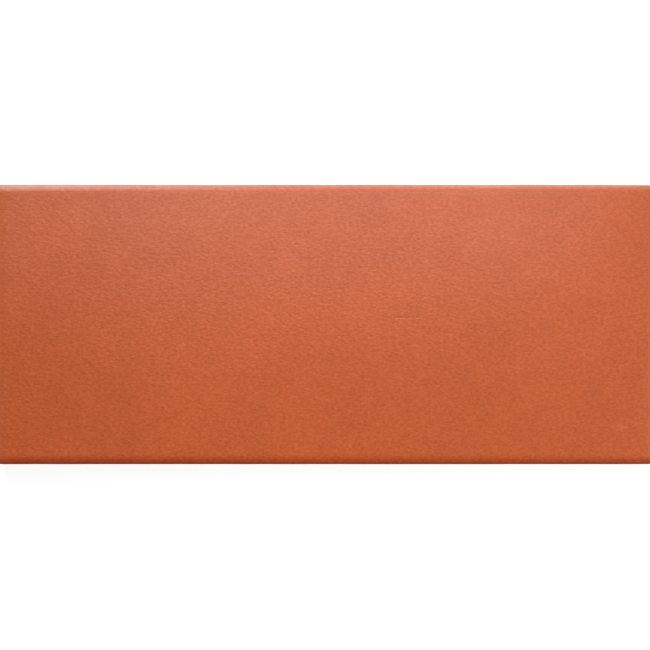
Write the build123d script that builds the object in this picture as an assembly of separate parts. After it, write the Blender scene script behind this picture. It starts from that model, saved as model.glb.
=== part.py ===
from build123d import *
import os

# Ceramic floor tile, extruded in one piece and fired without a glaze.
# It lies on its back: +X along its length, +Y across its width, +Z out of the wear face.
# The origin is the middle of the bed, the plane that the ribs of the back stand on.

# Driving dimensions of the fired tile, in millimetres
TILE_LENGTH = 280.0
TILE_WIDTH = 120.0
TILE_THICKNESS = 12.0

# Rolled arris round the wear face: an arc that leaves the face without a step
# The die rolls it well down along the long sides, and the two cut ends are only wiped
ARRIS_WIDTH = 4.1
ARRIS_DROP = 1.3
END_DROP = 0.15

# Small round that takes the arris down into the upright sides
RIM_RADIUS = 0.5

# Upright corners seen from above, and the eased edge round the back
CORNER_RADIUS = 0.8
BACK_EDGE = 0.8

# Dovetail grooves that the die leaves along the back, wider at the floor than at the mouth
GROOVE_COUNT = 8
GROOVE_DEPTH = 2.0
GROOVE_MOUTH = 5.0
GROOVE_FLOOR = 6.6
GROOVE_FLOOR_RADIUS = 0.5
RIB_EDGE_RADIUS = 0.4

# Plain land between each long side and the first groove's mouth
EDGE_LAND = 8.5


def groove_centres():
    """Places of the grooves across the width, evenly spaced between the two edge lands."""
    first = TILE_WIDTH / 2 - EDGE_LAND - GROOVE_MOUTH / 2
    pitch = 2 * first / (GROOVE_COUNT - 1)
    return [pitch * number - first for number in range(GROOVE_COUNT)]


def groove_points(centre):
    """One dovetail groove, from the left lip of its mouth round its floor to the right lip."""
    return [
        (centre - GROOVE_MOUTH / 2, 0),
        (centre - GROOVE_FLOOR / 2, GROOVE_DEPTH),
        (centre + GROOVE_FLOOR / 2, GROOVE_DEPTH),
        (centre + GROOVE_MOUTH / 2, 0),
    ]


def at_height(section, height):
    """The section's corners at one height above the bed."""
    return section.vertices().filter_by_position(Axis.Y, height, height)


def rolled_section(span, drop, centres):
    """Section over one span of the tile: its back, eased edges, upright sides, arrises and wear face."""
    half = span / 2
    rim_height = TILE_THICKNESS - drop
    flat_end = half - ARRIS_WIDTH
    foot = half - BACK_EDGE
    back = [point for centre in centres for point in groove_points(centre)]
    with BuildSketch() as section:
        with BuildLine():
            Polyline(
                (-half, rim_height),
                (-half, BACK_EDGE),
                (-foot, 0),
                *back,
                (foot, 0),
                (half, BACK_EDGE),
                (half, rim_height),
            )
            TangentArc((flat_end, TILE_THICKNESS), (half, rim_height), tangent=(1, 0))
            TangentArc((-flat_end, TILE_THICKNESS), (-half, rim_height), tangent=(-1, 0))
            Line((-flat_end, TILE_THICKNESS), (flat_end, TILE_THICKNESS))
        make_face()
        fillet(at_height(section, rim_height), RIM_RADIUS)
        if centres:
            fillet(at_height(section, GROOVE_DEPTH), GROOVE_FLOOR_RADIUS)
            lips = at_height(section, 0).sort_by(Axis.X)[1:-1]
            fillet(lips, RIB_EDGE_RADIUS)
    return section.sketch


def floor_tile():
    """The tile: the keyed section run along the length, met by the end section and the rounded plan."""
    keyed = rolled_section(TILE_WIDTH, ARRIS_DROP, groove_centres())
    wiped = rolled_section(TILE_LENGTH, END_DROP, [])
    along = extrude(Plane.YZ * keyed, TILE_LENGTH / 2, both=True)
    across = extrude(Plane.XZ * wiped, TILE_WIDTH / 2, both=True)
    plan = extrude(RectangleRounded(TILE_LENGTH, TILE_WIDTH, CORNER_RADIUS), TILE_THICKNESS)
    return along & across & plan


os.makedirs("parts", exist_ok=True)
export_step(floor_tile(), "parts/floor_tile.step")
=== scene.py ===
"""Looks of a ceramic floor tile: one extruded, unglazed clay tile with a rolled arris and a keyed back.

The tile lies on its back in the CAD frame: +X along its length, +Y across its width and +Z out of its
wear face. The near side is the one at -Y, the far side the one at +Y.
"""

import math

import bpy
import numpy as np
from bpy.props import FloatProperty, FloatVectorProperty, IntProperty, PointerProperty
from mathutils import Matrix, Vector


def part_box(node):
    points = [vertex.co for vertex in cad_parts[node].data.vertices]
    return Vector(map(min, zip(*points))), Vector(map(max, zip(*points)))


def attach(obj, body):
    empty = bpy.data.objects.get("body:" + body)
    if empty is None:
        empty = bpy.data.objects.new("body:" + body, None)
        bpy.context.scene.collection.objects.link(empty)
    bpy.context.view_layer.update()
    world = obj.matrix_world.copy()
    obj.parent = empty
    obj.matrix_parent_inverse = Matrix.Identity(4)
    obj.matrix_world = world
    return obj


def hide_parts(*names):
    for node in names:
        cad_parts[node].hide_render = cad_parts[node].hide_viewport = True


bl_info = {
    "name": "Ceramic floor tile",
    "version": (1, 0, 0),
    "blender": (4, 5, 0),
    "location": "View3D > Sidebar > Floor tile",
    "description": "Builds an unglazed clay floor tile with a rolled arris and the studio it is seen in",
    "category": "Object",
}

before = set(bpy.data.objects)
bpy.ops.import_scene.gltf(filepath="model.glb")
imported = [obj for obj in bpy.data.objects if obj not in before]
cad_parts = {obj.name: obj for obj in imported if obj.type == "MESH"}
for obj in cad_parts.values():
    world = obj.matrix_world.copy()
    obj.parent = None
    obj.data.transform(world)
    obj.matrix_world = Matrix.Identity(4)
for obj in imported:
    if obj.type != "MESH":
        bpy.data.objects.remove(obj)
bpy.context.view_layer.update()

TILE_NODE = "floor_tile"
TILE_PIECE = "fired_tile"
CLAY_SLOT = "fired_clay"
tile_low, tile_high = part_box(TILE_NODE)
tile_size = [high - low for low, high in zip(tile_low, tile_high)]

MM = 0.001

# Cells of the mesh
ARRIS_STEPS = 7
RIM_STEPS = 5
SIDE_ROWS = 7
FLANK_ROUND_STEPS = 3
FLANK_LINE_STEPS = 2
GROOVE_FLOOR_STEPS = 4
RIB_STEPS = 4
CORNER_STEPS = 3
BACK_CELLS = 44
EDGE_RIB_SHARES = (0.0, 0.055, 0.11, 0.17, 0.35, 0.55, 0.78, 1.0)
MAP_GAP = 1.5 * MM
WELD_STEP = 1e-7
SHARP_ANGLE = math.radians(38)

# Slack for telling which surface a point lies on, and the least distance to divide by
TOUCH = 1e-6
TINY = 1e-12

# Noise on a flat sheet: its step, its size over the tile's, and how sharply its waves are cut off
NOISE_STEP = 0.4 * MM
SHEET_SHARE = 1.1
LONG_WAVE_POWER = 4
SHORT_WAVE_POWER = 6
HIGHEST_SHARE = 0.999

# Unevenness of each sort: its waves, its random seed, its fall and how it is drawn out along X and Y
SIDE_DRAG = {"shortest": 1.6 * MM, "longest": 9.0 * MM, "seed": 37, "stretch": (9.0, 1.0)}
END_TEARS = {"shortest": 1.5 * MM, "longest": 8.0 * MM, "seed": 41, "stretch": (1.0, 2.2)}
BACK_DRAG = {"shortest": 1.4 * MM, "longest": 12.0 * MM, "seed": 67, "stretch": (12.0, 1.0)}
EDGE_WANDER = {"shortest": 12.0 * MM, "longest": 90.0 * MM, "seed": 53}
STREAKS = {"shortest": 2.6 * MM, "longest": 16.0 * MM, "seed": 23, "fall": 1.5, "stretch": (5.0, 1.0)}
WRINKLE_SEED = 11

# Spreads of noise that make up a full depth, and the row of the sheet for the near and left edges
DRAG_REACH = 3
WANDER_REACH = 6
WANDER_ROW = 10.0 * MM

# Lengths over which the unevenness fades out
SIDE_FADE = 1.2 * MM
CORNER_FADE = 4.0 * MM
BACK_END_LAND = 2.0 * MM
FACE_FADE = 0.8 * MM

# Hairline scratch: its left end, how far it runs deep, faintly and until it is gone, and how faint
SCRATCH_PLACE = (28.7 * MM, 3.0 * MM)
SCRATCH_RUN = (5.2 * MM, 11.0 * MM, 17.0 * MM)
SCRATCH_FAINT = 0.35
SCRATCH_RISE = 0.5 * MM

# Cells across the scratch: reach in half widths, their number, and the share of a cell kept clear
SCRATCH_REACH = 3
SCRATCH_CELLS = 9
SCRATCH_CLEAR = 0.2

# Soft marks: place, half widths along X and Y in millimetres, and strength
PALE_MARKS_AND_SHEEN = (
    # Specks and scuffs
    (-137.2, -26.0, 0.45, 0.45, 0.90),
    (-103.2, -42.4, 0.40, 0.40, 0.80),
    (-62.3, -9.3, 1.10, 0.35, 0.45),
    (-61.0, -8.6, 0.40, 0.60, 0.40),
    (127.5, -44.1, 1.60, 0.90, 0.30),
    # Painted highlight along the far arris, and painted sheen at the far left corner and the upper left
    # end
    (95.0, 58.4, 75.0, 1.00, 0.33),
    (-131.0, 58.2, 9.0, 1.80, 0.30),
    (-140.0, 45.0, 20.0, 40.0, 0.13),
    # Painted sheen along the edges of the cut ends, where their rims turn from the light
    (-140.0, 0.0, 2.2, 300.0, 0.10),
    (140.0, 40.0, 2.2, 50.0, 0.06),
)
DARK_MARKS_AND_SHADE = (
    # Blotch, and painted shade on the scratch's upper wall
    (28.9, 38.5, 4.0, 2.6, 0.50),
    (33.4, 3.2, 5.0, 0.32, 1.00),
)

# Chips: middle, size and depth in millimetres
CHIPS = (((26.1, -59.7, 10.8), 0.7, 0.25),)

# Zones of the clay: how far each starts from its edge or level, and over what length it comes in
FACE_DEPTH = 2.5 * MM
# Painted shade on the near edge, which faces away from the light: where it starts and over what length
# it comes in
EDGE_SHADE_START, EDGE_SHADE_FADE = 4.6 * MM, 3.4 * MM
# Painted shade on the near rim: its strongest share, how far below the arris it lies, and its half
# height
RIM_SHADE_SHARE = 0.9
RIM_SHADE_DROP, RIM_SHADE_HALF = 0.1 * MM, 0.4 * MM
BELOW_RIM_FADE = 1.0 * MM
ROLLED_START, ROLLED_FADE = 2.9 * MM, 1.15 * MM
CUT_END_START, CUT_END_FADE = 1.0 * MM, 0.7 * MM
BACK_START, BACK_FADE = 1.2 * MM, 1.0 * MM
SIDE_SKIN = 0.1 * MM

# Patterns in the clay, scales in waves per metre, and how the fine wrinkles are drawn out along X
CLOUDS = {"scale": 22.0, "detail": 3.0, "roughness": 0.55}
MOTTLE = {"scale": 130.0, "detail": 4.0, "roughness": 0.6}
FINE_WRINKLES = {"scale": 900.0, "detail": 1.0, "distortion": 0.2}
GRAIN_TONES = {"scale": 1350.0, "detail": 0.0}
GRAIN = {"scale": 3800.0, "detail": 2.0, "roughness": 0.6}
WRINKLE_STRETCH = (0.57, 1.0, 1.0)

# Ranges that the patterns are stretched from and to
CLOUD_RANGE = (0.75, 1.30)
TONE_RANGE = (0.2, 0.8)
DUST_RANGE, DUST_SHARES = (0.35, 0.65), (0.25, 0.85)
SATIN_RANGE, SATIN_ROUGHNESS = (0.3, 0.7), (0.31, 0.35)
DUSTY_ROUGHER = 0.45
ROLLED_WRINKLES = 0.25

# Studio, in metres: the floor, the lamps' places, widths and heights, and how far the camera sees
FLOOR_REACH = 3.4
FLOOR_FLAT = 1.7
FLOOR_RISE = 0.8
FLOOR_CELLS = 72
FLOOR_DROP = 0.2 * MM
LAMPS = {
    "top_lamp": ((0.000, 0.100, 0.259), 0.311, 0.142),
    "right_lamp": ((0.820, -0.350, 0.800), 0.600, 0.600),
    "far_high_lamp": ((-0.394, 1.800, 1.984), 0.200, 0.200),
    "far_right_lamp": ((0.250, 1.950, 1.044), 0.160, 0.100),
    "far_left_lamp": ((-0.425, 1.950, 1.052), 0.200, 0.100),
}
CAMERA_REACH = 20.0

# Columns and rows of the nodes in the editor
NODE_WIDE, NODE_TALL = 220, 320


class FloorTileShape(bpy.types.PropertyGroup):
    """Sizes of the tile, as the CAD part has them."""

    length: FloatProperty(
        name="Length", description="Along X",
        default=tile_size[0], precision=5, unit="LENGTH",
    )
    width: FloatProperty(
        name="Width", description="Along Y",
        default=tile_size[1], precision=5, unit="LENGTH",
    )
    thickness: FloatProperty(
        name="Thickness", description="Bed to wear face",
        default=tile_size[2], precision=5, unit="LENGTH",
    )
    arris_width: FloatProperty(
        name="Arris width", description="Rolled edge seen from above",
        default=4.1 * MM, precision=5, unit="LENGTH",
    )
    arris_drop: FloatProperty(
        name="Arris drop", description="Fall of the arris arc at the long sides",
        default=1.3 * MM, precision=5, unit="LENGTH",
    )
    end_drop: FloatProperty(
        name="End drop", description="Fall of the arris arc at the cut ends",
        default=0.15 * MM, precision=5, unit="LENGTH",
    )
    rim_radius: FloatProperty(
        name="Rim radius", description="Round from arris to side",
        default=0.5 * MM, precision=5, unit="LENGTH",
    )
    corner_radius: FloatProperty(
        name="Corner radius", description="Upright corners from above",
        default=0.8 * MM, precision=5, unit="LENGTH",
    )
    back_edge: FloatProperty(
        name="Back edge", description="Eased edge round the back",
        default=0.8 * MM, precision=5, unit="LENGTH",
    )
    groove_count: IntProperty(
        name="Grooves", description="Dovetail grooves of the back",
        default=8, min=2,
    )
    groove_depth: FloatProperty(
        name="Groove depth", description="Mouth to floor",
        default=2.0 * MM, precision=5, unit="LENGTH",
    )
    groove_mouth: FloatProperty(
        name="Groove mouth", description="Width at the bed",
        default=5.0 * MM, precision=5, unit="LENGTH",
    )
    groove_floor: FloatProperty(
        name="Groove floor", description="Width at the floor",
        default=6.6 * MM, precision=5, unit="LENGTH",
    )
    groove_floor_radius: FloatProperty(
        name="Groove floor radius", description="Round in the groove",
        default=0.5 * MM, precision=5, unit="LENGTH",
    )
    rib_edge_radius: FloatProperty(
        name="Rib edge radius", description="Round of a rib's lip",
        default=0.4 * MM, precision=5, unit="LENGTH",
    )
    edge_land: FloatProperty(
        name="Edge land", description="Side to first groove",
        default=8.5 * MM, precision=5, unit="LENGTH",
    )
    cell: FloatProperty(
        name="Face cell", description="Mesh cell of the wear face",
        default=0.72 * MM, precision=5, unit="LENGTH",
    )


class FloorTileRelief(bpy.types.PropertyGroup):
    """Unevenness that the die, the cutting wire and wear leave."""

    wrinkle_height: FloatProperty(
        name="Wrinkle height", description="Spread of the leathery relief",
        default=0.0048 * MM, precision=6, unit="LENGTH",
    )
    wrinkle_short: FloatProperty(
        name="Shortest wrinkle", description="Shortest wave that is modelled",
        default=2.2 * MM, precision=5, unit="LENGTH",
    )
    wrinkle_long: FloatProperty(
        name="Longest wrinkle", description="Longest wave of the relief",
        default=6.0 * MM, precision=5, unit="LENGTH",
    )
    streak_height: FloatProperty(
        name="Streak height", description="Spread of the slanting streaks",
        default=0.002 * MM, precision=6, unit="LENGTH",
    )
    streak_angle: FloatProperty(
        name="Streak angle", description="Slant of the streaks",
        default=math.radians(25), subtype="ANGLE",
    )
    side_depth: FloatProperty(
        name="Side depth", description="Drag lines of the long sides",
        default=0.07 * MM, precision=5, unit="LENGTH",
    )
    end_depth: FloatProperty(
        name="End depth", description="Tears of the wire-cut ends",
        default=0.20 * MM, precision=5, unit="LENGTH",
    )
    back_depth: FloatProperty(
        name="Back depth", description="Drag lines of the back",
        default=0.06 * MM, precision=5, unit="LENGTH",
    )
    edge_wander: FloatProperty(
        name="Edge wander", description="How far the edges leave a straight line",
        default=0.12 * MM, precision=5, unit="LENGTH",
    )
    scratch_depth: FloatProperty(
        name="Scratch depth", description="Hairline scratch in the face",
        default=0.13 * MM, precision=5, unit="LENGTH",
    )
    scratch_width: FloatProperty(
        name="Scratch width", description="Half width of the scratch",
        default=0.24 * MM, precision=5, unit="LENGTH",
    )


class FloorTileClay(bpy.types.PropertyGroup):
    """Colours and finish of the fired clay."""

    clay: FloatVectorProperty(
        name="Clay", description="Red-brown of the wear face",
        default=(0.590, 0.1195, 0.0350), subtype="COLOR",
    )
    # Deep clay also paints the shade on the scratch's upper wall
    clay_deep: FloatVectorProperty(
        name="Deep clay", description="Darker clouds, the blotch and dirt",
        default=(0.528, 0.1038, 0.0300), subtype="COLOR",
    )
    # Pale clay also paints the highlight along the far arris and the sheen at the far left corner and on
    # the cut ends' edges
    clay_pale: FloatVectorProperty(
        name="Pale clay", description="Specks, scuffs and rubbed edges",
        default=(0.640, 0.2300, 0.1300), subtype="COLOR",
    )
    clay_dusty: FloatVectorProperty(
        name="Dusty clay", description="Back and cut ends",
        default=(0.560, 0.1750, 0.0820), subtype="COLOR",
    )
    # Painted shade on the near edge, which faces away from the light
    clay_edge_shade: FloatVectorProperty(
        name="Edge clay", description="Deeper red of the near edge",
        default=(0.550, 0.0820, 0.0205), subtype="COLOR",
    )
    # Painted shade: the dark line of the near rim, and the inside of the chips
    clay_rim_shade: FloatVectorProperty(
        name="Burnt clay", description="Dark line of the near rim, and chips",
        default=(0.200, 0.0240, 0.0060), subtype="COLOR",
    )
    grain_dark: FloatVectorProperty(
        name="Dark grains", description="Tint of the darkest grains",
        default=(0.936, 0.768, 0.660), subtype="COLOR",
    )
    grain_light: FloatVectorProperty(
        name="Light grains", description="Tint of the lightest grains",
        default=(1.064, 1.232, 1.340), subtype="COLOR",
    )
    wrinkle_bump: FloatProperty(
        name="Fine wrinkles", description="Height of the finest wrinkles",
        default=0.097 * MM, precision=6, unit="LENGTH",
    )
    grain_bump: FloatProperty(
        name="Grain", description="Height of the clay grain",
        default=0.006 * MM, precision=6, unit="LENGTH",
    )


class FloorTileStudio(bpy.types.PropertyGroup):
    """Camera, lamps and floor."""

    lens: FloatProperty(
        name="Lens", description="Focal length in millimetres",
        default=120.0, min=1.0, unit="CAMERA",
    )
    frame_width: FloatProperty(
        name="Frame width", description="Width of the view at the rim",
        default=279.14 * MM, precision=5, unit="LENGTH",
    )
    view_x: FloatProperty(
        name="View X", description="Place of the camera along the tile",
        default=0.05 * MM, precision=6, unit="LENGTH",
    )
    view_y: FloatProperty(
        name="View Y", description="Place of the camera across the tile",
        default=-0.15 * MM, precision=6, unit="LENGTH",
    )
    top_lamp: FloatProperty(
        name="Top lamp", description="Power of the lamp just above the tile",
        default=0.333, min=0.0, unit="POWER",
    )
    right_lamp: FloatProperty(
        name="Right lamp", description="Power of the broad lamp on the right",
        default=8.18, min=0.0, unit="POWER",
    )
    far_high_lamp: FloatProperty(
        name="Far high lamp", description="Power of the high lamp on the far side",
        default=11.42, min=0.0, unit="POWER",
    )
    far_right_lamp: FloatProperty(
        name="Far right lamp", description="Power of the low right lamp on the far side",
        default=7.70, min=0.0, unit="POWER",
    )
    far_left_lamp: FloatProperty(
        name="Far left lamp", description="Power of the low left lamp on the far side",
        default=13.50, min=0.0, unit="POWER",
    )
    floor_colour: FloatVectorProperty(
        name="Floor", description="Grey of the floor in the lamps' light",
        default=(0.30, 0.30, 0.30), subtype="COLOR",
    )
    floor_glow: FloatProperty(
        name="Floor glow", description="White that the camera sees in the floor",
        default=0.85, min=0.0,
    )


def smooth_step(value):
    """3 t squared minus 2 t cubed, with t held between 0 and 1."""
    t = np.clip(value, 0, 1)
    return t * t * (3 - 2 * t)


def grid_cells(rows, columns):
    """Corner numbers of the cells of a grid of points.

    A cell faces along the cross product of down-the-rows and along-the-columns.
    """
    number = np.arange(rows * columns).reshape(rows, columns)
    corners = [number[:-1, :-1], number[1:, :-1], number[1:, 1:], number[:-1, 1:]]
    return np.stack(corners, -1).reshape(-1, 4)


def rolled_arris(shape, fall):
    """Inset from the side and drop below the face, from the face down the arris and round the rim.

    The arris is an arc that leaves the face level and would reach the side at its fall. The rim is a
    round inside that arc that touches both it and the side.
    """
    width, rim = shape.arris_width, shape.rim_radius
    roll = (width**2 + fall**2) / (2 * fall)
    meet = math.asin((width - rim) / (roll - rim))
    turn = np.linspace(0, meet, ARRIS_STEPS + 1)
    over = np.linspace(meet, math.pi / 2, RIM_STEPS + 1)[1:]
    rim_drop = roll - math.sqrt((roll - rim) ** 2 - (width - rim) ** 2)
    inset = np.concatenate([width - roll * np.sin(turn), rim - rim * np.sin(over)])
    drop = np.concatenate([roll - roll * np.cos(turn), rim_drop - rim * np.cos(over)])
    return inset, drop


def rim_height(shape):
    """Height at which the rolled edge runs into a long side."""
    return shape.thickness - rolled_arris(shape, shape.arris_drop)[1][-1]


def face_places(half, arris, cell, scratch=None):
    """Places across one span of the wear face and their drops: even cells between the two arrises.

    Where a scratch crosses the span, the cells close up round it.
    """
    inset, drop = arris
    flat = half - inset[0]
    level = np.linspace(-flat, flat, int(round(2 * flat / cell)) + 1)
    if scratch is not None:
        middle, reach, count = scratch
        close = middle + np.linspace(-reach, reach, count)
        apart = np.abs(level - middle) > reach + SCRATCH_CLEAR * cell
        level = np.sort(np.concatenate([level[apart], close]))
    side = half - inset[1:]
    place = np.concatenate([-side[::-1], level, side])
    fall = np.concatenate([drop[:0:-1], np.zeros(len(level)), drop[1:]])
    return place, fall


def corner_round(corner, before, after, radius, steps):
    """Points of a round in a corner, from the line towards one point to the line towards the next.

    Its centre lies on the line that halves the corner, at the radius over the sine of half the angle.
    """
    corner, before, after = (np.asarray(point, float) for point in (corner, before, after))
    first = (before - corner) / np.linalg.norm(before - corner)
    last = (after - corner) / np.linalg.norm(after - corner)
    angle = math.acos(float(first @ last))
    centre = corner + (first + last) / np.linalg.norm(first + last) * radius / math.sin(angle / 2)
    start = corner + first * radius / math.tan(angle / 2) - centre
    finish = corner + last * radius / math.tan(angle / 2) - centre
    across = finish - start * float(start @ finish) / radius**2
    across *= radius / np.linalg.norm(across)
    turn = np.linspace(0, math.pi - angle, steps + 1)[:, None]
    return centre + np.cos(turn) * start + np.sin(turn) * across


def groove_flank(shape):
    """One flank of a groove from floor to lip, as offset from the groove's middle and height.

    A slanting line from the floor's edge to the mouth's edge, with a round at each end.
    """
    mouth, floor, depth = shape.groove_mouth / 2, shape.groove_floor / 2, shape.groove_depth
    foot, lip = (floor, depth), (mouth, 0)
    inner = corner_round(foot, (0, depth), lip, shape.groove_floor_radius, FLANK_ROUND_STEPS)
    outer = corner_round(lip, foot, (floor * 2, 0), shape.rib_edge_radius, FLANK_ROUND_STEPS)
    share = np.linspace(0, 1, FLANK_LINE_STEPS + 1)[1:-1, None]
    line = inner[-1] * (1 - share) + outer[0] * share
    return np.concatenate([inner, line, outer])


def side_foot(shape, steps):
    """The foot of a long side as inset and height: straight down from the groove floors' height, then in
    over the eased edge at 45 degrees."""
    upright = steps // 2
    edge = shape.back_edge
    down = np.linspace(shape.groove_depth, edge, upright + 1)
    ease = np.linspace(edge, 0, steps - upright + 1)[1:]
    inset = np.concatenate([np.zeros(upright + 1), edge - ease])
    return np.stack([inset, np.concatenate([down, ease])], 1)


def back_ribs(shape):
    """The ribs of the back: for each, its left and right flank from the top down, and the shares that
    divide it. The grooves are evenly spaced between the two edge lands."""
    half = shape.width / 2
    flank = groove_flank(shape)
    foot = side_foot(shape, len(flank) - 1)
    first = half - shape.edge_land - shape.groove_mouth / 2
    centres = np.linspace(-first, first, shape.groove_count)
    mirror = np.array([-1, 1])
    starts = [np.array([-half, 0]) + foot]
    starts += [np.array([centre, 0]) + flank for centre in centres]
    ends = [np.array([centre, 0]) + flank * mirror for centre in centres]
    ends += [np.array([half, 0]) + foot * mirror]
    near = np.array(EDGE_RIB_SHARES)
    even = np.linspace(0, 1, RIB_STEPS + 1)
    shares = [near] + [even] * (shape.groove_count - 1) + [1 - near[::-1]]
    return list(zip(starts, ends, shares))


def back_outline(ribs):
    """The back's section as one line of points: down each rib's left flank, along its land, up its right
    flank, and over the groove's floor to the next rib."""
    line = []
    for number, (left, right, shares) in enumerate(ribs):
        land = left[-1] + (right[-1] - left[-1]) * shares[1:-1, None]
        line += [left, land, right[::-1]]
        if number + 1 < len(ribs):
            following = ribs[number + 1][0][0]
            share = np.linspace(0, 1, GROOVE_FLOOR_STEPS + 1)[1:-1, None]
            line.append(right[0] + (following - right[0]) * share)
    return np.concatenate(line)


def rib_root_places(ribs):
    """Places across the width of the ribs' roots and the groove floors, at the floors' height."""
    places = []
    for number, (left, right, shares) in enumerate(ribs):
        places.append(left[0, 0] + (right[0, 0] - left[0, 0]) * shares)
        if number + 1 < len(ribs):
            following = ribs[number + 1][0][0, 0]
            places.append(np.linspace(right[0, 0], following, GROOVE_FLOOR_STEPS + 1)[1:-1])
    return np.concatenate(places)


def back_places(shape):
    """Places along the length for the back: long cells, closing up in each rounded corner."""
    half, corner = shape.length / 2, shape.corner_radius
    ends = half - corner * np.linspace(1, 0, CORNER_STEPS + 1)
    inside = np.linspace(-ends[0], ends[0], BACK_CELLS + 1)[1:-1]
    return np.concatenate([-ends[::-1], inside, ends])


def strip_between(upper, lower):
    """Triangles that join two rows of unlike spacing, each row known by its places along the run.

    The edges of both rows are taken in the order of their middles. Each makes a triangle with the point
    that the other row has reached.
    """
    upper_middle = (upper[:-1] + upper[1:]) / 2
    lower_middle = (lower[:-1] + lower[1:]) / 2
    reached = np.searchsorted(lower_middle, upper_middle, side="left")
    edge = np.arange(len(upper_middle))
    from_upper = np.stack([len(upper) + reached, edge + 1, edge], 1)
    passed = np.searchsorted(upper_middle, lower_middle, side="right")
    edge = len(upper) + np.arange(len(lower_middle))
    from_lower = np.stack([edge, edge + 1, passed], 1)
    return np.concatenate([from_upper, from_lower])


def face_patch(shape, scratch):
    """The wear face and its arrises: height is the thickness less the larger of the two drops.

    The larger drop gives mitred corners.
    """
    x, fall_x = face_places(shape.length / 2, rolled_arris(shape, shape.end_drop), shape.cell)
    y, fall_y = face_places(shape.width / 2, rolled_arris(shape, shape.arris_drop), shape.cell, scratch)
    height = shape.thickness - np.maximum(fall_x[:, None], fall_y[None, :])
    across_x, across_y = np.meshgrid(x, y, indexing="ij")
    points = np.stack([across_x, across_y, height], -1).reshape(-1, 3)
    spread = points[:, :2] + [shape.length / 2, shape.width / 2]
    return (points, spread, grid_cells(len(x), len(y)), None), x, y, height


def side_patch(side, run, lower, top, bottom):
    """One upright side: the face's edge points carried down in rows, then a strip to wider cells below.

    side is the axis across it, how far out it stands and where its flat map starts. run and lower are
    places along the side, and top is the height of each edge point. The rows are even, and the strip is
    about as high as one of them.
    """
    axis, out, start = side
    share = np.linspace(0, 1 - 1 / (SIDE_ROWS + 2), SIDE_ROWS + 1)[:, None]
    height = top + (bottom - top) * share
    along = np.concatenate([np.broadcast_to(run, height.shape).ravel(), lower])
    height = np.concatenate([height.ravel(), np.full(len(lower), bottom)])
    spread = np.stack([along, height], 1)
    points = np.insert(spread, axis, out, axis=1)
    way = 1 if run[-1] > run[0] else -1
    strip = SIDE_ROWS * len(run) + strip_between(run * way, lower * way)
    return points, spread + start, grid_cells(SIDE_ROWS + 1, len(run)), strip


def back_patch(shape, ribs, x):
    """The back: its section carried along the length, drawn in at the ends over the eased edge."""
    line = back_outline(ribs)
    reach = 1 - np.maximum(shape.back_edge - line[:, 1], 0) / (shape.length / 2)
    along = x[None, :] * reach[:, None]
    across = np.broadcast_to(line[:, :1], along.shape)
    height = np.broadcast_to(line[:, 1:], along.shape)
    points = np.stack([along, across, height], -1).reshape(-1, 3)
    steps = np.linalg.norm(np.diff(line, axis=0), axis=1)
    travel = np.broadcast_to(np.concatenate([[0], np.cumsum(steps)])[:, None], along.shape)
    spread = np.stack([along + shape.length / 2, travel], -1).reshape(-1, 2)
    return (points, spread, grid_cells(*along.shape), None), float(steps.sum())


def rib_end_patch(shape, rib, side):
    """The end of one rib: straight lines from flank to flank, drawn in over the eased edge."""
    left, right, shares = rib
    _, out, start = side
    shares = shares if out > 0 else shares[::-1]
    flat = left[:, None] + (right - left)[:, None] * shares[None, :, None]
    spread = flat.reshape(-1, 2)
    ease = np.maximum(shape.back_edge - spread[:, 1], 0)
    points = np.insert(spread, 0, np.sign(out) * (np.abs(out) - ease), axis=1)
    return points, spread + start, grid_cells(*flat.shape[:2]), None


def lift(patch, row):
    """A patch with its flat map raised to its own row."""
    points, spread, cells, strip = patch
    return points, spread + [0, row], cells, strip


def tile_patches(shape, scratch):
    """Every patch of the closed tile with its flat map, the maps one above the other in one square."""
    half_x, half_y = shape.length / 2, shape.width / 2
    face, x, y, face_height = face_patch(shape, scratch)
    ribs = back_ribs(shape)
    back_x = back_places(shape)
    back, travel = back_patch(shape, ribs, back_x)
    roots = rib_root_places(ribs)
    top, bottom = shape.thickness, shape.groove_depth
    face_row = MAP_GAP
    back_row = face_row + shape.width + MAP_GAP
    near_row = back_row + travel + MAP_GAP
    far_row = near_row + top + MAP_GAP
    end_row = far_row + top + MAP_GAP
    whole = end_row + top + MAP_GAP
    patches = [lift(face, face_row), lift(back, back_row)]
    for way, row in ((-1, near_row), (1, far_row)):
        edge = face_height[:, -1 if way > 0 else 0]
        side = (1, way * half_y, (half_x, row))
        patches.append(side_patch(side, x[::-way], back_x[::-way], edge[::-way], bottom))
    for way, map_x in ((-1, half_y), (1, half_y + half_x)):
        edge = face_height[-1 if way > 0 else 0]
        side = (0, way * half_x, (map_x, end_row))
        patches.append(side_patch(side, y[::way], roots[::way], edge[::way], bottom))
        patches += [rib_end_patch(shape, rib, side) for rib in ribs]
    return [
        (points, (spread + [MAP_GAP, 0]) / whole, cells, strip)
        for points, spread, cells, strip in patches
    ]


def joined(patches):
    """All patches as one mesh: points that fall on one spot become one.

    Returns points, face corners, the number of corners of each face, and the flat map of the corners.
    """
    points, spread, fours, threes, count = [], [], [], [], 0
    for place, flat, cells, strip in patches:
        points.append(place)
        spread.append(flat)
        fours.append(cells + count)
        if strip is not None:
            threes.append(strip + count)
        count += len(place)
    points, spread = np.concatenate(points), np.concatenate(spread)
    fours, threes = np.concatenate(fours), np.concatenate(threes)
    keys = np.round(points / WELD_STEP).astype(np.int64)
    _, first, same = np.unique(keys, axis=0, return_index=True, return_inverse=True)
    corners = np.concatenate([fours.ravel(), threes.ravel()])
    sizes = np.concatenate([np.full(len(fours), 4), np.full(len(threes), 3)])
    return points[first], same.ravel()[corners], sizes, spread[corners]


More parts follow.
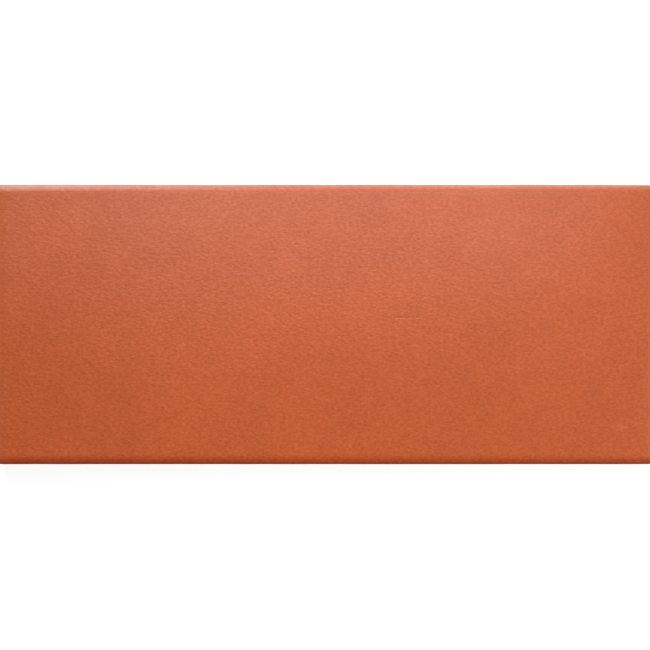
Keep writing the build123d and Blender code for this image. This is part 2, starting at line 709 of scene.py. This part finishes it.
def clay_noise(shape, shortest, longest, seed, fall=1.0, stretch=(1.0, 1.0)):
    """Random grain on a flat sheet a little larger than the tile, with a spread of 1.

    It is kept between two wavelengths. Each wave's height goes down as its number of waves per metre to
    the power of fall. stretch draws the grain out along X and Y.
    """
    span = (shape.length * SHEET_SHARE, shape.width * SHEET_SHARE)
    counts = [int(math.ceil(size / NOISE_STEP)) for size in span]
    grain = np.random.default_rng(seed).standard_normal(counts)
    along = np.fft.fftfreq(counts[0], NOISE_STEP)[:, None] * stretch[0]
    across = np.fft.rfftfreq(counts[1], NOISE_STEP)[None, :] * stretch[1]
    waves = np.hypot(along, across)
    waves[0, 0] = 1 / span[0]
    long_end = 1 - np.exp(-((waves * longest) ** LONG_WAVE_POWER))
    short_end = np.exp(-((waves * shortest) ** SHORT_WAVE_POWER))
    keep = long_end * short_end / waves**fall
    field = np.fft.irfft2(np.fft.rfft2(grain) * keep, counts)
    return (field - field.mean()) / field.std()


def read_noise(field, along, across):
    """The sheet's value at any place, straight between its points and repeating at its edges."""
    u, v = along / NOISE_STEP, across / NOISE_STEP
    low_u, low_v = np.floor(u).astype(int), np.floor(v).astype(int)
    part_u, part_v = u - low_u, v - low_v
    rows, columns = field.shape
    u0, u1 = low_u % rows, (low_u + 1) % rows
    v0, v1 = low_v % columns, (low_v + 1) % columns
    near = field[u0, v0] * (1 - part_v) + field[u0, v1] * part_v
    far = field[u1, v0] * (1 - part_v) + field[u1, v1] * part_v
    return near * (1 - part_u) + far * part_u


def sunk(noise):
    """Noise moved down and cut off at nought, so that it only goes into the clay."""
    return np.minimum(noise - np.quantile(noise, HIGHEST_SHARE), 0)


def upright_part(points, shape):
    """Which points lie on the upright sides, and a share that fades out at the rim and at the ribs."""
    z = points[:, 2]
    rim, foot = rim_height(shape), shape.groove_depth
    between = (z < rim - TOUCH) & (z > foot + TOUCH)
    return between, smooth_step((rim - z) / SIDE_FADE) * smooth_step((z - foot) / SIDE_FADE)


def side_drag(points, shape, relief):
    """Shift along Y: the die's drag lines in the long sides, fading out at the corners too."""
    x, y, z = points.T
    half_x, half_y = shape.length / 2, shape.width / 2
    lines = sunk(clay_noise(shape, **SIDE_DRAG))
    upright, fade = upright_part(points, shape)
    on_side = upright & (np.abs(y) > half_y - TOUCH)
    corner = smooth_step((half_x - np.abs(x)) / CORNER_FADE)
    read = read_noise(lines, x + half_x, z + np.where(y > 0, half_y, 0))
    depth = relief.side_depth * read / DRAG_REACH
    return np.where(on_side, np.sign(y) * depth * fade * corner, 0)


def end_tears(points, shape, relief):
    """Shift along X: what the cutting wire tore out of the ends, fading out at the corners too."""
    x, y, z = points.T
    half_x, half_y = shape.length / 2, shape.width / 2
    tears = sunk(clay_noise(shape, **END_TEARS))
    upright, fade = upright_part(points, shape)
    on_end = upright & (np.abs(x) > half_x - TOUCH)
    corner = smooth_step((half_y - np.abs(y)) / CORNER_FADE)
    read = read_noise(tears, y + half_y + np.where(x > 0, half_y, 0), z)
    depth = relief.end_depth * read / DRAG_REACH
    return np.where(on_end, np.sign(x) * depth * fade * corner, 0)


def back_drag(points, shape, relief):
    """Shift along Z: the die's drag lines in the back's ribs and grooves, fading out at the ends."""
    x, y, z = points.T
    half_x, half_y = shape.length / 2, shape.width / 2
    lines = clay_noise(shape, **BACK_DRAG)
    on_back = (z < shape.groove_depth + TOUCH) & (np.abs(y) < half_y - 2 * shape.back_edge)
    ends = smooth_step((half_x - BACK_END_LAND - np.abs(x)) / CORNER_FADE)
    depth = -relief.back_depth * sunk(read_noise(lines, x + half_x, y + half_y)) / DRAG_REACH
    return np.where(on_back, depth * ends, 0)


def round_corners(points, shape):
    """Draws each square upright corner onto a quarter circle.

    The larger of a point's two offsets from the circle's centre becomes its distance from it.
    """
    ease = np.maximum(shape.back_edge - points[:, 2], 0)
    radius = shape.corner_radius
    reach = np.stack([shape.length / 2 - ease, shape.width / 2 - ease], 1) - radius
    out = np.maximum(np.abs(points[:, :2]) - reach, 0)
    far = np.maximum(np.hypot(out[:, 0], out[:, 1]), TINY)
    pull = np.where((out > 0).all(1), out.max(1) / far, 1)[:, None]
    inner = np.minimum(np.abs(points[:, :2]), reach)
    flat = np.where(out > 0, inner + out * pull, np.abs(points[:, :2]))
    return np.concatenate([np.copysign(flat, points[:, :2]), points[:, 2:]], 1)


def edge_scale(points, shape, relief):
    """Scales of X and Y, just under 1, that make the edges wander: noise along each edge."""
    x, y, _ = points.T
    half_x, half_y = shape.length / 2, shape.width / 2
    wander = sunk(clay_noise(shape, **EDGE_WANDER)) / WANDER_REACH
    drift_y = read_noise(wander, x + half_x, np.where(y > 0, half_y, WANDER_ROW)) * relief.edge_wander
    drift_x = read_noise(wander, np.where(x > 0, half_x, WANDER_ROW), y + half_y) * relief.edge_wander
    return np.stack([1 + drift_x / half_x, 1 + drift_y / half_y], 1)


def chip_share(points, middle, size):
    """How deep each point lies in a chip: a bell of the distance from its middle over its size."""
    away = np.linalg.norm(points - np.array(middle) * MM, axis=1) / (size * MM)
    return np.exp(-(away**2))


def scratch_fall(points, relief):
    """Depth of the hairline scratch: a bell across it, full at its left end, then faint, then gone."""
    start, middle = SCRATCH_PLACE
    strong, faint, gone = (start + run for run in SCRATCH_RUN)
    x = points[:, 0]
    along = smooth_step((x - start) / SCRATCH_RISE)
    fade = 1 - (1 - SCRATCH_FAINT) * smooth_step((x - strong) / (2 * SCRATCH_RISE))
    fade = fade * (1 - smooth_step((x - faint) / (gone - faint)))
    across = np.exp(-(((points[:, 1] - middle) / relief.scratch_width) ** 2))
    return relief.scratch_depth * along * fade * across


def face_relief(points, shape, relief):
    """Height of the wear face's relief, at most nought: wrinkles plus streaks that run at a slant."""
    x, y, _ = points.T
    half_x, half_y = shape.length / 2, shape.width / 2
    wrinkles = clay_noise(shape, relief.wrinkle_short, relief.wrinkle_long, WRINKLE_SEED)
    streaks = clay_noise(shape, **STREAKS)
    slant = relief.streak_angle
    along = x * math.cos(slant) + y * math.sin(slant)
    across = -x * math.sin(slant) + y * math.cos(slant)
    height = relief.wrinkle_height * read_noise(wrinkles, x + half_x, y + half_y)
    height = height + relief.streak_height * read_noise(streaks, along + half_x, across + half_y)
    return sunk(height)


def weather(points, shape, relief):
    """The tile's unevenness, always into the clay, read off the places of the even tile's points.

    First the sides, the ends and the back, then the rounded corners, the wandering edges and the chips,
    and last the wrinkles and the scratch of the wear face.
    """
    worn = points.copy()
    worn[:, 1] += side_drag(points, shape, relief)
    worn[:, 0] += end_tears(points, shape, relief)
    worn[:, 2] += back_drag(points, shape, relief)
    worn = round_corners(worn, shape)
    worn[:, :2] *= edge_scale(points, shape, relief)
    for middle, size, depth in CHIPS:
        worn[:, 2] -= depth * MM * chip_share(worn, middle, size)
    face = smooth_step((points[:, 2] - rim_height(shape)) / FACE_FADE)
    worn[:, 2] += (face_relief(points, shape, relief) - scratch_fall(worn, relief)) * face
    return worn


def mark_strength(points, marks):
    """How strongly each point lies in a list of soft marks, each a bell with its own half widths."""
    strength = np.zeros(len(points))
    for mark_x, mark_y, wide, tall, most in marks:
        away = ((points[:, 0] / MM - mark_x) / wide) ** 2 + ((points[:, 1] / MM - mark_y) / tall) ** 2
        strength = np.maximum(strength, most * np.exp(-away))
    return strength


def clay_shares(points, shape):
    """What each point shows, from 0 to 1, for the clay to read.

    The zones come in by smooth steps of the distance from an edge or a level. The painted shade of the
    near rim is a bell of the height, on the near edge only, and the chips get the same painted shade.
    """
    x, y, z = points.T
    half_x, half_y = shape.length / 2, shape.width / 2
    rim = shape.thickness - shape.arris_drop
    face = smooth_step((z - shape.thickness + FACE_DEPTH) / FACE_FADE)
    near_edge = smooth_step((-y - half_y + EDGE_SHADE_START) / EDGE_SHADE_FADE)
    rim_shade = RIM_SHADE_SHARE * near_edge * np.exp(-(((z - rim + RIM_SHADE_DROP) / RIM_SHADE_HALF) ** 2))
    # The chips get the same painted shade
    for middle, size, _ in CHIPS:
        rim_shade = np.maximum(rim_shade, chip_share(points, middle, size))
    below = smooth_step((rim - z) / BELOW_RIM_FADE)
    rolled = smooth_step((np.abs(y) - half_y + ROLLED_START) / ROLLED_FADE)
    end = smooth_step((np.abs(x) - half_x + CUT_END_START) / CUT_END_FADE) * below
    back = smooth_step((shape.groove_depth + BACK_START - z) / BACK_FADE)
    inside = np.abs(y) < half_y - SIDE_SKIN
    return {
        "pale_mark": mark_strength(points, PALE_MARKS_AND_SHEEN) * face,
        "dark_mark": mark_strength(points, DARK_MARKS_AND_SHADE) * face,
        "burnt_rim": rim_shade,
        "rolled_edge": rolled,
        "flamed_edge": near_edge * face,
        "cut_end": end,
        "keyed_back": back * inside * (1 - end),
    }


def add_node(tree, kind, **settings):
    """A shader node of one kind, with its settings."""
    node = tree.nodes.new(kind)
    for name, value in settings.items():
        setattr(node, name, value)
    return node


def lay_out(tree):
    """Puts each node in a column to the left of all that it feeds, one below the other."""
    column = {node.name: 0 for node in tree.nodes}
    for _ in tree.nodes:
        for link in tree.links:
            left = column[link.to_node.name] + 1
            column[link.from_node.name] = max(column[link.from_node.name], left)
    rows = dict.fromkeys(column.values(), 0)
    for node in tree.nodes:
        left = column[node.name]
        node.location = (-left * NODE_WIDE, -rows[left] * NODE_TALL)
        rows[left] += 1


def clay_texture(tree, source, scale, detail, roughness=0.5, distortion=0.0):
    """Cloudy noise in the tile's own coordinates, scale in waves per metre."""
    node = add_node(tree, "ShaderNodeTexNoise")
    node.inputs["Scale"].default_value = scale
    node.inputs["Detail"].default_value = detail
    node.inputs["Roughness"].default_value = roughness
    node.inputs["Distortion"].default_value = distortion
    tree.links.new(source, node.inputs["Vector"])
    return node.outputs["Fac"]


def stretch_range(tree, value, span, result=(0.0, 1.0)):
    """A value moved from one range to another in a straight line and held there."""
    node = add_node(tree, "ShaderNodeMapRange")
    node.inputs["From Min"].default_value, node.inputs["From Max"].default_value = span
    node.inputs["To Min"].default_value, node.inputs["To Max"].default_value = result
    tree.links.new(value, node.inputs["Value"])
    return node.outputs["Result"]


def worked_out(tree, way, first, second):
    """Two values put together by one sum. Either may be a plain number."""
    node = add_node(tree, "ShaderNodeMath", operation=way)
    for socket, value in zip(node.inputs, (first, second)):
        if isinstance(value, (int, float)):
            socket.default_value = value
        else:
            tree.links.new(value, socket)
    return node.outputs["Value"]


def colour_sockets(sockets):
    """The colour sockets among a node's inputs or outputs."""
    return [socket for socket in sockets if socket.type == "RGBA"]


def blended(tree, share, first, second):
    """Two colours mixed by a share. Either may be a plain colour."""
    node = add_node(tree, "ShaderNodeMix", data_type="RGBA")
    tree.links.new(share, node.inputs["Factor"])
    for socket, value in zip(colour_sockets(node.inputs), (first, second)):
        if isinstance(value, bpy.types.NodeSocket):
            tree.links.new(value, socket)
        else:
            socket.default_value = (*value, 1.0)
    return colour_sockets(node.outputs)[0]


def toned(tree, colour, tone):
    """A colour made lighter or darker: each channel times a tone round 1."""
    node = add_node(tree, "ShaderNodeMix", data_type="RGBA", blend_type="MULTIPLY")
    node.inputs["Factor"].default_value = 1.0
    for socket, value in zip(colour_sockets(node.inputs), (colour, tone)):
        tree.links.new(value, socket)
    return colour_sockets(node.outputs)[0]


def point_share(tree, name):
    """One of the shares that the tile's points carry."""
    return add_node(tree, "ShaderNodeAttribute", attribute_name=name).outputs["Fac"]


def clay_colour(tree, clay, place, drawn, mottle, rough_side):
    """The clay's colour in layers: clouds and dark marks, painted edge shade, grains, painted rim shade,
    pale marks with painted sheen, and dust.
    """
    clouds = clay_texture(tree, place, **CLOUDS)
    deep = stretch_range(tree, worked_out(tree, "ADD", clouds, mottle), CLOUD_RANGE)
    # Dark marks: the blotch, and painted shade on the scratch's upper wall
    deep = worked_out(tree, "MAXIMUM", deep, point_share(tree, "dark_mark"))
    colour = blended(tree, deep, clay.clay, clay.clay_deep)
    # Painted shade on the near edge
    colour = blended(tree, point_share(tree, "flamed_edge"), colour, clay.clay_edge_shade)
    tone = stretch_range(tree, clay_texture(tree, drawn, **GRAIN_TONES), TONE_RANGE)
    colour = toned(tree, colour, blended(tree, tone, clay.grain_dark, clay.grain_light))
    # Painted shade on the near rim and in the chips
    colour = blended(tree, point_share(tree, "burnt_rim"), colour, clay.clay_rim_shade)
    # Pale specks and scuffs, and painted highlight and sheen on the far arris, far left corner and cut
    # ends
    colour = blended(tree, point_share(tree, "pale_mark"), colour, clay.clay_pale)
    dusty = stretch_range(tree, mottle, DUST_RANGE, DUST_SHARES)
    dusty = worked_out(tree, "MULTIPLY", dusty, rough_side)
    return blended(tree, dusty, colour, clay.clay_dusty)


def clay_surface(tree, clay, place, drawn):
    """Fine wrinkles, calmer on the rolled edges, with the clay's grain on top."""
    fine = add_node(tree, "ShaderNodeBump")
    fine.inputs["Distance"].default_value = clay.wrinkle_bump
    rolled = point_share(tree, "rolled_edge")
    strength = stretch_range(tree, rolled, (0.0, 1.0), (1.0, ROLLED_WRINKLES))
    tree.links.new(strength, fine.inputs["Strength"])
    tree.links.new(clay_texture(tree, drawn, **FINE_WRINKLES), fine.inputs["Height"])
    grained = add_node(tree, "ShaderNodeBump")
    grained.inputs["Strength"].default_value = 1.0
    grained.inputs["Distance"].default_value = clay.grain_bump
    tree.links.new(clay_texture(tree, place, **GRAIN), grained.inputs["Height"])
    tree.links.new(fine.outputs["Normal"], grained.inputs["Normal"])
    return grained.outputs["Normal"]


def new_material(name):
    """An empty node material. Returns it and its tree."""
    material = bpy.data.materials.new(name)
    material.use_nodes = True
    material.node_tree.nodes.clear()
    return material, material.node_tree


def fired_clay(clay):
    """Unglazed fired clay: a satin wear face and sides, and a dusty, rougher back and cut ends."""
    material, tree = new_material(CLAY_SLOT)
    place = add_node(tree, "ShaderNodeTexCoord").outputs["Object"]
    stretched = add_node(tree, "ShaderNodeMapping")
    stretched.inputs["Scale"].default_value = WRINKLE_STRETCH
    tree.links.new(place, stretched.inputs["Vector"])
    drawn = stretched.outputs["Vector"]
    mottle = clay_texture(tree, place, **MOTTLE)
    cut_end, keyed = point_share(tree, "cut_end"), point_share(tree, "keyed_back")
    rough_side = worked_out(tree, "MAXIMUM", cut_end, keyed)
    satin = stretch_range(tree, mottle, SATIN_RANGE, SATIN_ROUGHNESS)
    matt = worked_out(tree, "MULTIPLY", rough_side, DUSTY_ROUGHER)
    shader = add_node(tree, "ShaderNodeBsdfPrincipled")
    colour = clay_colour(tree, clay, place, drawn, mottle, rough_side)
    tree.links.new(colour, shader.inputs["Base Color"])
    tree.links.new(worked_out(tree, "ADD", satin, matt), shader.inputs["Roughness"])
    tree.links.new(clay_surface(tree, clay, place, drawn), shader.inputs["Normal"])
    output = add_node(tree, "ShaderNodeOutputMaterial")
    tree.links.new(shader.outputs["BSDF"], output.inputs["Surface"])
    lay_out(tree)
    return material


def white_floor(studio):
    """Pale floor: it takes the tile's shadow, and shows white to the camera and in reflections.

    What the camera sees is the floor's grey in the lamps' light plus an even glow that lights nothing.
    """
    material, tree = new_material("white_floor")
    path = add_node(tree, "ShaderNodeLightPath").outputs
    seen = worked_out(tree, "MAXIMUM", path["Is Camera Ray"], path["Is Glossy Ray"])
    seen = worked_out(tree, "MAXIMUM", seen, path["Is Transmission Ray"])
    glow = add_node(tree, "ShaderNodeEmission")
    strength = worked_out(tree, "MULTIPLY", seen, studio.floor_glow)
    tree.links.new(strength, glow.inputs["Strength"])
    matt = add_node(tree, "ShaderNodeBsdfDiffuse")
    matt.inputs["Color"].default_value = (*studio.floor_colour, 1.0)
    both = add_node(tree, "ShaderNodeAddShader")
    tree.links.new(glow.outputs["Emission"], both.inputs[0])
    tree.links.new(matt.outputs["BSDF"], both.inputs[1])
    output = add_node(tree, "ShaderNodeOutputMaterial")
    tree.links.new(both.outputs["Shader"], output.inputs["Surface"])
    lay_out(tree)
    return material


def placed_mesh(name, points, corners, sizes):
    """A new smooth object at the origin from points, face corners and each face's number of corners."""
    mesh = bpy.data.meshes.new(name)
    faces = np.split(corners, np.cumsum(sizes)[:-1])
    mesh.from_pydata(points.tolist(), [], [face.tolist() for face in faces])
    mesh.polygons.foreach_set("use_smooth", np.ones(len(mesh.polygons), bool))
    mesh.update()
    piece = bpy.data.objects.new(name, mesh)
    bpy.context.scene.collection.objects.link(piece)
    return piece


class FLOORTILE_OT_make_tile(bpy.types.Operator):
    """Build the fired tile over its CAD node."""

    bl_idname = "floor_tile.make_tile"
    bl_label = "Make the fired tile"

    def execute(self, context):
        scene = context.scene
        shape, relief = scene.floor_tile_shape, scene.floor_tile_relief
        scratch = (SCRATCH_PLACE[1], SCRATCH_REACH * relief.scratch_width, SCRATCH_CELLS)
        points, corners, sizes, spread = joined(tile_patches(shape, scratch))
        worn = weather(points, shape, relief)
        tile = placed_mesh(TILE_PIECE, worn, corners, sizes)
        mesh = tile.data
        mesh.set_sharp_from_angle(angle=SHARP_ANGLE)
        bake_map = mesh.uv_layers.new(name="OFBake", do_init=False)
        bake_map.uv.foreach_set("vector", spread.astype(np.float32).ravel())
        for name, share in clay_shares(worn, shape).items():
            layer = mesh.attributes.new(name, "FLOAT", "POINT")
            layer.data.foreach_set("value", share.astype(np.float32))
        mesh.materials.append(fired_clay(scene.floor_tile_clay))
        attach(tile, "root")
        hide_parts(TILE_NODE)
        return {"FINISHED"}


def studio_floor(studio):
    """Floor that is level round the tile and rises to a soft backdrop.

    Its height grows as the square of the distance past the level part.
    """
    place = np.linspace(-FLOOR_REACH, FLOOR_REACH, FLOOR_CELLS + 1)
    x, y = np.meshgrid(place, place, indexing="ij")
    out = np.maximum(np.hypot(x, y) - FLOOR_FLAT, 0) / (FLOOR_REACH - FLOOR_FLAT)
    points = np.stack([x, y, FLOOR_RISE * out**2 - FLOOR_DROP], -1).reshape(-1, 3)
    cells = grid_cells(*x.shape)
    floor = placed_mesh("studio_floor", points, cells.ravel(), np.full(len(cells), 4))
    floor.data.materials.append(white_floor(studio))
    return floor


def studio_lamp(name, place, wide, tall, power):
    """A soft panel lamp turned to the middle of the tile."""
    data = bpy.data.lights.new(name, "AREA")
    data.shape = "RECTANGLE"
    data.size = wide
    data.size_y = tall
    data.energy = power
    lamp = bpy.data.objects.new(name, data)
    lamp.location = place
    lamp.rotation_mode = "QUATERNION"
    lamp.rotation_quaternion = (-Vector(place)).to_track_quat("-Z", "Y")
    lamp.visible_camera = False
    bpy.context.scene.collection.objects.link(lamp)


def tile_camera(studio, shape):
    """Camera straight above the tile, so high that its view has the asked width at the rim."""
    data = bpy.data.cameras.new("tile_camera")
    data.lens = studio.lens
    data.clip_end = CAMERA_REACH
    height = rim_height(shape) + studio.frame_width * studio.lens / data.sensor_width
    camera = bpy.data.objects.new("tile_camera", data)
    camera.location = (studio.view_x, studio.view_y, height)
    bpy.context.scene.collection.objects.link(camera)
    bpy.context.scene.camera = camera


def studio_world():
    """A world that gives no light of its own."""
    world = bpy.data.worlds.new("studio_world")
    world.use_nodes = True
    world.node_tree.nodes["Background"].inputs["Strength"].default_value = 0.0
    bpy.context.scene.world = world


class FLOORTILE_OT_make_stage(bpy.types.Operator):
    """Set up the floor, the lamps and the camera."""

    bl_idname = "floor_tile.make_stage"
    bl_label = "Make the studio"

    def execute(self, context):
        scene = context.scene
        studio = scene.floor_tile_studio
        studio_floor(studio)
        for name, (place, wide, tall) in LAMPS.items():
            studio_lamp(name, place, wide, tall, getattr(studio, name))
        studio_world()
        tile_camera(studio, scene.floor_tile_shape)
        scene.view_settings.view_transform = "Standard"
        return {"FINISHED"}


class FLOORTILE_PT_panel(bpy.types.Panel):
    """Sizes, finish and studio of the floor tile."""

    bl_idname = "FLOORTILE_PT_panel"
    bl_label = "Floor tile"
    bl_space_type = "VIEW_3D"
    bl_region_type = "UI"
    bl_category = "Floor tile"

    def draw(self, context):
        scene = context.scene
        for title, group in PROPERTY_GROUPS.items():
            box = self.layout.box()
            box.label(text=group.__doc__.rstrip("."))
            for name in group.__annotations__:
                box.prop(getattr(scene, title), name)
        for operator in OPERATORS:
            self.layout.operator(operator.bl_idname)


PROPERTY_GROUPS = {
    "floor_tile_shape": FloorTileShape,
    "floor_tile_relief": FloorTileRelief,
    "floor_tile_clay": FloorTileClay,
    "floor_tile_studio": FloorTileStudio,
}
OPERATORS = (FLOORTILE_OT_make_tile, FLOORTILE_OT_make_stage)
CLASSES = (*PROPERTY_GROUPS.values(), *OPERATORS, FLOORTILE_PT_panel)


def register():
    """Makes the classes known to Blender and hangs the settings on the scene."""
    for made in CLASSES:
        bpy.utils.register_class(made)
    for title, group in PROPERTY_GROUPS.items():
        setattr(bpy.types.Scene, title, PointerProperty(type=group))


def unregister():
    """Takes the settings and the classes away again."""
    for title in PROPERTY_GROUPS:
        delattr(bpy.types.Scene, title)
    for made in reversed(CLASSES):
        bpy.utils.unregister_class(made)


def main():
    """Builds the tile and its studio."""
    register()
    bpy.ops.floor_tile.make_tile()
    bpy.ops.floor_tile.make_stage()


if __name__ == "__main__":
    main()
